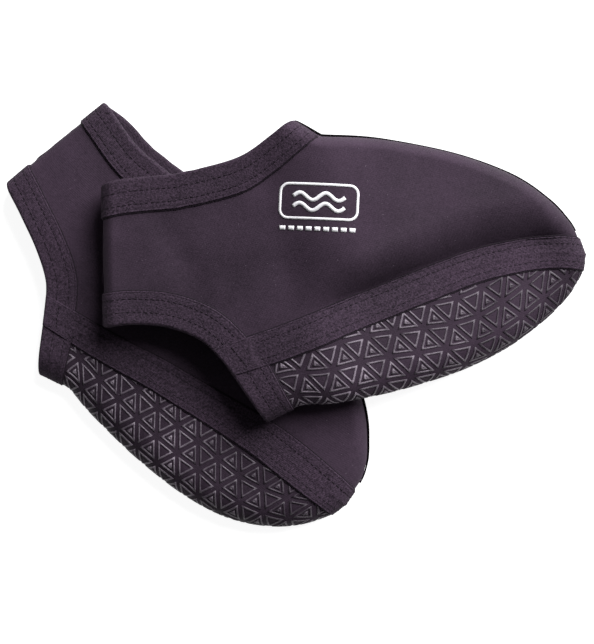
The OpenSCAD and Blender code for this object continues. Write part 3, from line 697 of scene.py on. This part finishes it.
def heel_binding(boot):
    """Along the strap's lower edge, at its full width as far as the tape."""
    ks, side = round_fold(crowded(0, HEEL_RIB, 90, "first"))
    edge = seam_at(np.minimum(ks, HEEL_SQUEEZE + (ks - HEEL_SQUEEZE) * 0.45))
    ahead = unit(seam_at(np.minimum(ks + 0.05, HEEL_RIB))
                 - seam_at(np.minimum(ks, HEEL_RIB - 0.05) - 0.05))
    square = seam_at(ks) + np.stack([-ahead[:, 1], ahead[:, 0]], -1) * HEEL_BINDING_W
    turned = smooth((ks - 0.6) / 1.2)[:, None]
    inner = up_rib(ks, np.full(len(ks), HEEL_BINDING_W)) * (1 - turned) + square * turned
    return binding("heel_binding", boot, side, inner, edge, HEEL_BINDING_W)


def sole_binding(boot):
    """Across the sole's heel edge; its ends go under the tape."""
    f, side = round_fold(crowded(0, 1, 60, "last"), fold_first=False)
    start = TAPE_W / 2 - UNDER_TAPE
    seam_step = float(np.linalg.norm(seam_at(HEEL_RIB + 1) - seam_at(HEEL_RIB)))
    inner_rib = HEEL_RIB + SOLE_BINDING_W / seam_step * SOLE_BINDING_FLARE

    def across(rib):
        near_end = sole_rib(np.array(rib), np.array(start))
        return near_end + (fold_at(rib) - near_end) * f[:, None]

    return binding("sole_binding", boot, side, across(inner_rib), across(HEEL_RIB),
                   SOLE_BINDING_W)


BEAD_OUT, BEAD_UP, BEAD_TALL = 0.5, 0.8, 1.9


def vamp_bead(boot):
    """The black bead where the two halves of the upper meet; it thins towards the toe."""
    ks = steps(6.95, 13.75, 0.05)
    line = skin(boot, np.full(len(ks), FOLD), top_at(ks))
    ahead = unit(np.gradient(line, axis=0))
    out = unit(np.stack([-ahead[:, 1], ahead[:, 0], 0 * ahead[:, 0]], -1))
    radius = 0.3 + 0.45 * smooth((14 - ks) / 3) + 0.5 * smooth((10.5 - ks) / 3)
    tall = np.stack([0 * radius, 0 * radius, radius * BEAD_TALL], -1)
    turns = np.linspace(0, 2 * np.pi, 13)
    ring = [line + out * BEAD_OUT + tall * BEAD_UP + radius[:, None] * out * math.cos(a)
            + tall * math.sin(a) for a in turns]
    grid = np.stack(ring, 1)
    normals = np.stack([out * math.cos(a) + np.array([0, 0, math.sin(a)]) for a in turns], 1)
    cloth = np.repeat(top_at(ks)[:, None], len(turns), 1)
    finished(boot + "_vamp_bead", grid_bmesh(grid, normals, cloth, closed=True), BEAD, boot,
             "vamp_seam")


# ---- Stitches
FACE = BAND_RISE - 0.1
STITCH_BATCH = 80
# Offset and thickness of the dark lines of painted shade at the foot of the band edges.
EDGE_OUT, EDGE_UP, EDGE_RADIUS = 0.22, 0.25, 0.34
BARTACK_TOP, BARTACK_FOOT, BARTACK_RISE = (4.2, 7.3), (10.3, -6.9), 1.9


def stitch_line(points, normals, pitch=2.9, length=2.1, thick=0.5, height=0.1):
    """Places of single stitches at equal distances along a line."""
    gaps = np.linalg.norm(np.diff(points, axis=0), axis=1)
    run = np.concatenate([[0], np.cumsum(gaps)])
    found = []
    for s in np.arange(pitch, run[-1] - pitch, pitch):
        at = np.array([np.interp(s, run, points[:, c]) for c in range(3)])
        ahead = np.array([np.interp(s + 0.5, run, points[:, c]) for c in range(3)]) - at
        n = unit(np.array([np.interp(s, run, normals[:, c]) for c in range(3)]))
        x = unit(ahead)
        y = unit(np.cross(n, x))
        at = at + n * height
        at[2] = max(at[2], thick / 2)
        found.append((at, x, y, np.cross(x, y), length * random.uniform(0.85, 1.1), thick))
    return found


def stitches(name, places, boot, replaces):
    """Each stitch as a small rounded thread, lying along its row."""
    meshes = []
    for start in range(0, len(places), STITCH_BATCH):
        bm = bmesh.new()
        for at, x, y, z, length, thick in places[start:start + STITCH_BATCH]:
            basis = Matrix([[x[c] * length / 2, y[c] * thick / 2, z[c] * thick / 2, at[c]]
                            for c in range(3)] + [[0, 0, 0, 1]])
            turn = Matrix.Rotation(math.pi / 2, 4, "Y")
            bmesh.ops.create_uvsphere(bm, u_segments=6, v_segments=5, radius=1,
                                      matrix=Matrix.Scale(MM, 4) @ basis @ turn)
        for face in bm.faces:
            face.smooth = True
        meshes.append(bm)
    finished(name, join(meshes), THREAD, boot, replaces)


def row_on_sheet(sheet, across, distance, height):
    """The line at a distance from the inner edge of a band, on the band's face."""
    j = int(np.argmin(abs(across - distance)))
    return sheet.points[:, j] + sheet.normals[:, j] * height, sheet.normals[:, j]


def band_stitches(name, boot, sheet, across, rows=STITCH_ROWS):
    """Rows of stitches along a band, at distances from its inner edge."""
    places = []
    for row in rows:
        places += stitch_line(*row_on_sheet(sheet, across, row, FACE))
    stitches(f"{boot}_{name}_stitches", places, boot, name + "_stitching")


def edge_line(sheet, column, beyond):
    """A thin dark line at the foot of a band's edge: painted shade of the gap under the band's
    edge.
    """
    away = unit(sheet.points[:, column] - sheet.points[:, beyond])
    up = sheet.normals[:, column]
    middle = sheet.points[:, column] + away * EDGE_OUT + up * EDGE_UP
    turns = np.linspace(0, 2 * np.pi, 7)
    grid = np.stack([middle + EDGE_RADIUS * (away * math.cos(a) + up * math.sin(a))
                     for a in turns], 1)
    normals = np.stack([away * math.cos(a) + up * math.sin(a) for a in turns], 1)
    return grid_bmesh(grid, normals, grid[..., :2], closed=True)


def edge_shade_lines(boot, tape, bindings):
    """Dark lines of painted shade on both sides of the tape and at the inner edge of each binding.
    """
    lines = [edge_line(tape, 0, 2), edge_line(tape, -1, -3)]
    lines += [edge_line(sheet, 0, 2) for sheet in bindings]
    finished(boot + "_edge_shade_lines", join(lines), THREAD, boot)


def bartacks(boot):
    """Dense rows of thread across the tape's ends."""
    places = []
    for side in (NEAR, FAR):
        f = np.linspace(0, 1, 40)[:, None]
        p = np.array(BARTACK_TOP) * (1 - f) + np.array(BARTACK_FOOT) * f
        points = skin(boot, np.full(len(p), side), p)
        normals = np.tile([0.0, 0.0, float(side)], (len(p), 1))
        places += stitch_line(points + normals * BARTACK_RISE, normals, 1.9, 1.6, 0.8, 0)
    stitches(boot + "_bartack_threads", places, boot, "bartacks")


# ---- Prints
GRIP_PITCH, GRIP_INSET, GRIP_LINE, GRIP_RISE = 14.4, 1.15, 0.95, 0.28
GRIP_ROW = GRIP_PITCH * math.sqrt(3) / 2
GRIP_START = {FRONT: 6.0, REAR: 13.2}
GRIP_STRETCH = {FRONT: (1.04, 1.0), REAR: (0.95, 0.93)}
GRIP_LEAN, LEAN_FROM = {FRONT: 0.15, REAR: 0.2}, 100
MARK_REACH, GRIP_FILM = 2.1, 0.22
EMBLEM_PLACE, EMBLEM_LEAN = (0.347, 0.592), math.radians(-19.5)
FRAME_SIZE, FRAME_CORNER, FRAME_LINE = (39, 17.2), 4.2, 1.3
WAVE_ROWS, WAVE_RISE, WAVE_RATE, WAVE_REACH, WAVE_LINE = (-2.8, 2.4), 1.8, 0.484, 13, 1.9
DASH_FROM, DASH_TO, DASH_PITCH, DASH_LENGTH, DASH_DROP, DASH_LINE = -19.2, 16.4, 4.4, 3, 5.1, 2.1


def triangle_ring(radius, line, segments):
    """The outer and inner edge of an outlined triangle in the flat, point up."""

    def loop(reach):
        corners = [reach * np.array([math.cos(a), math.sin(a)])
                   for a in np.radians([90, 210, 330, 450])]
        spots = [corners[i] + (corners[i + 1] - corners[i]) * f
                 for i in range(3) for f in np.arange(segments) / segments]
        return np.array(spots + [corners[0]])

    return np.stack([loop(radius), loop(radius - 2 * line)], 1)


class SoleMap:
    """Places the flat print on the sole: s along it, f from its fold towards the near tape."""

    def __init__(self, sheet):
        self.sheet = sheet
        runs = np.linalg.norm(np.diff(sheet.points, axis=1), axis=2)
        self.across = np.concatenate([np.zeros((len(runs), 1)), np.cumsum(runs, 1)], 1)
        self.fold = self.across[:, self.across.shape[1] // 2]
        middle = sheet.points[:, sheet.points.shape[1] // 4]
        self.along = np.concatenate([[0], np.cumsum(np.linalg.norm(np.diff(middle, axis=0),
                                                                   axis=1))])

    def hidden(self, s, f):
        """True where the print lies wholly under the tape or the binding."""
        row = np.interp(s, self.along, np.arange(len(self.along)))
        fold = np.interp(row, np.arange(len(self.fold)), self.fold)
        whole = np.interp(row, np.arange(len(self.fold)), self.across[:, -1])
        under = TAPE_W / 2 - 1.5
        return bool(np.all((fold - f < under) | (whole - fold + f < under)
                           | (s < SOLE_BINDING_W - 3) | (s > self.along[-1] - 2)))

    def place(self, s, f):
        """The point and normal of the sole where a spot of the flat print comes to lie."""
        row = float(np.interp(s, self.along, np.arange(len(self.along))))
        first = min(int(row), len(self.along) - 2)
        found = []
        for i in (first, first + 1):
            e = min(max(self.fold[i] - f, 3), self.across[i, -1] - 3)
            found.append(np.array([np.interp(e, self.across[i], grid[i, :, c])
                                   for grid in (self.sheet.points, self.sheet.normals)
                                   for c in range(3)]))
        mixed = found[0] * (1 - (row - first)) + found[1] * (row - first)
        return mixed[:3], unit(mixed[3:])


def printed(boot, spots):
    """The print's own places as they lie on the boot's sole: its rows run off the fold."""
    s = GRIP_START[boot] + spots[..., 0] * GRIP_STRETCH[boot][0]
    f = spots[..., 1] * GRIP_STRETCH[boot][1] - GRIP_LEAN[boot] * np.maximum(s - LEAN_FROM, 0)
    return np.stack([s, f], -1)


def grip_print(boot, sheet):
    """Rows of outlined triangles over the whole sole; those that point up hold a small one."""
    flat = SoleMap(sheet)
    outline = triangle_ring(GRIP_PITCH / math.sqrt(3) - 2 * GRIP_INSET, GRIP_LINE, 5)
    mark = triangle_ring(MARK_REACH, GRIP_LINE, 2)
    meshes = []
    for row in range(-4, 7):
        for i in range(-2, 29):
            up = i % 2 == 0
            s = (i + row % 2) * GRIP_PITCH / 2
            f = (row + (1 / 3 if up else 2 / 3)) * GRIP_ROW
            for ring in (outline, mark) if up else (outline,):
                spots = np.stack([ring[..., 0] + s, f + (1 if up else -1) * ring[..., 1]], -1)
                spots = printed(boot, spots)
                if flat.hidden(spots[..., 0], spots[..., 1]):
                    continue
                placed = [[flat.place(*spot) for spot in pair] for pair in spots]
                points = np.array([[q[0] + q[1] * GRIP_RISE for q in pair] for pair in placed])
                normals = np.array([[q[1] for q in pair] for pair in placed])
                meshes.append(grid_bmesh(points, normals, spots, closed=True))
    finished(boot + "_grip_pattern", join(meshes), GRIP, boot, "grip_print", GRIP_FILM)


def over_skin(boot, side, p, h):
    """Points a height h over the skin, with their normals."""
    step = 0.8

    def at(x, y):
        return skin(boot, side, p + np.array([x, y]))

    n = unit(np.cross(at(step, 0) - at(-step, 0), at(0, step) - at(0, -step)))
    n = n * np.where(n[..., 2:] * side[..., None] < 0, -1, 1)
    return at(0, 0) + n * h, n


def stroke(boot, side, line, width, closed=False):
    """A printed line of even width along points of the boot's plane."""
    if closed:
        line = np.concatenate([line, line[:1]])
        ahead = np.concatenate([line[-2:-1], line, line[1:2]])
        ahead = unit(ahead[2:] - ahead[:-2])
    else:
        ahead = unit(np.gradient(line, axis=0))
    out = np.stack([-ahead[:, 1], ahead[:, 0]], -1)
    p = np.stack([line + out * width * f for f in (-0.5, 0, 0.5)], 1)
    points, normals = over_skin(boot, np.full(p.shape[:2], side), p, 0.22)
    return grid_bmesh(points, normals, p, closed)


def rounded_frame(wide, high, corner):
    """Points of a rounded rectangle, close enough together to follow the skin."""
    line = [(cx * (wide / 2 - corner) + corner * math.cos(a),
             cy * (high / 2 - corner) + corner * math.sin(a))
            for cx, cy, start in ((1, 1, 0), (-1, 1, 90), (-1, -1, 180), (1, -1, 270))
            for a in np.radians(np.arange(start, start + 91, 10))]
    dense = []
    for a, b in zip(line, line[1:] + line[:1]):
        pieces = max(1, int(math.dist(a, b) / 1.5))
        dense += [(a[0] + (b[0] - a[0]) * i / pieces, a[1] + (b[1] - a[1]) * i / pieces)
                  for i in range(pieces)]
    return dense


def emblem(boot, side):
    """A generic mark: a rounded frame, two waves in it and a plain row of dashes below."""
    middle = np.array([FOOT_LENGTH * EMBLEM_PLACE[0], UPPER_HEIGHT * EMBLEM_PLACE[1]])
    c, s = math.cos(EMBLEM_LEAN), math.sin(EMBLEM_LEAN)
    turn = np.array([[c, s], [-s, c]])

    def printed_line(points, width, closed=False):
        return stroke(boot, side, middle + np.array(points) @ turn, width, closed)

    meshes = [printed_line(rounded_frame(*FRAME_SIZE, FRAME_CORNER), FRAME_LINE, True)]
    for y in WAVE_ROWS:
        wave = [(x, y + WAVE_RISE * math.sin(x * WAVE_RATE))
                for x in steps(-WAVE_REACH, WAVE_REACH, 0.65)]
        meshes.append(printed_line(wave, WAVE_LINE))
    low = -FRAME_SIZE[1] / 2 - DASH_DROP
    for x in steps(DASH_FROM, DASH_TO, DASH_PITCH):
        dash = [(x + d, low) for d in steps(0, DASH_LENGTH, 0.75)]
        meshes.append(printed_line(dash, DASH_LINE))
    finished(boot + "_emblem_print", join(meshes), WHITE_PRINT, boot, "emblem", 0.15)


def boot_pieces(boot):
    """Every piece of one boot. The emblem is on its outer side."""
    panel("upper", boot, upper_sheet(boot), JERSEY)
    sole = panel("sole", boot, sole_sheet(boot), SOLE_CLOTH)
    tape, across = seam_tape(boot)
    ankle, heel, sole_edge = ankle_binding(boot), heel_binding(boot), sole_binding(boot)
    vamp_bead(boot)
    band_stitches("tape", boot, tape, across, (STITCH_ROWS[0], TAPE_W - STITCH_ROWS[0]))
    band_stitches("ankle", boot, ankle, band_steps(ANKLE_BINDING_W, 1))
    band_stitches("heel", boot, heel, band_steps(HEEL_BINDING_W, 1))
    band_stitches("sole", boot, sole_edge, band_steps(SOLE_BINDING_W, 1))
    edge_shade_lines(boot, tape, (ankle, heel, sole_edge))
    bartacks(boot)
    grip_print(boot, sole)
    emblem(boot, NEAR if boot == FRONT else FAR)


# ---- Studio
CAMERA_PLACE, LENS = (0.000565, -0.0047, 0.75), 78.37
KEY_PLACE, KEY_SIZE, KEY_POWER = (2.1, 2.55, 2.3), 3.4, 435
SKY, SKY_STRENGTH = (0.97, 0.985, 1.0, 1), 0.12


def camera():
    """Straight above the pair."""
    data = bpy.data.cameras.new("camera")
    data.lens = LENS
    data.sensor_width = 36
    data.clip_end = 20
    cam = bpy.data.objects.new("camera", data)
    cam.location = CAMERA_PLACE
    bpy.context.scene.collection.objects.link(cam)
    bpy.context.scene.camera = cam


def floor():
    bm = bmesh.new()
    bmesh.ops.create_grid(bm, x_segments=1, y_segments=1, size=3)
    mesh = bpy.data.meshes.new("floor")
    bm.to_mesh(mesh)
    bm.free()
    mesh.materials.append(floor_material())
    plane = bpy.data.objects.new("floor", mesh)
    bpy.context.scene.collection.objects.link(plane)


def key_light():
    """One wide, soft light from the far right."""
    data = bpy.data.lights.new("key", "AREA")
    data.shape = "DISK"
    data.size = KEY_SIZE
    data.energy = KEY_POWER
    light = bpy.data.objects.new("key", data)
    light.location = KEY_PLACE
    light.rotation_euler = (-Vector(KEY_PLACE)).to_track_quat("-Z", "Y").to_euler()
    bpy.context.scene.collection.objects.link(light)


def studio():
    """The light, a dim even sky and plain colours."""
    world = bpy.data.worlds.new("studio")
    world.use_nodes = True
    back = world.node_tree.nodes["Background"]
    back.inputs[0].default_value = SKY
    back.inputs[1].default_value = SKY_STRENGTH
    bpy.context.scene.world = world
    key_light()
    bpy.context.scene.view_settings.view_transform = "Standard"
    bpy.context.scene.view_settings.look = "None"


camera()
floor()
studio()
for one_boot in (FRONT, REAR):
    boot_pieces(one_boot)
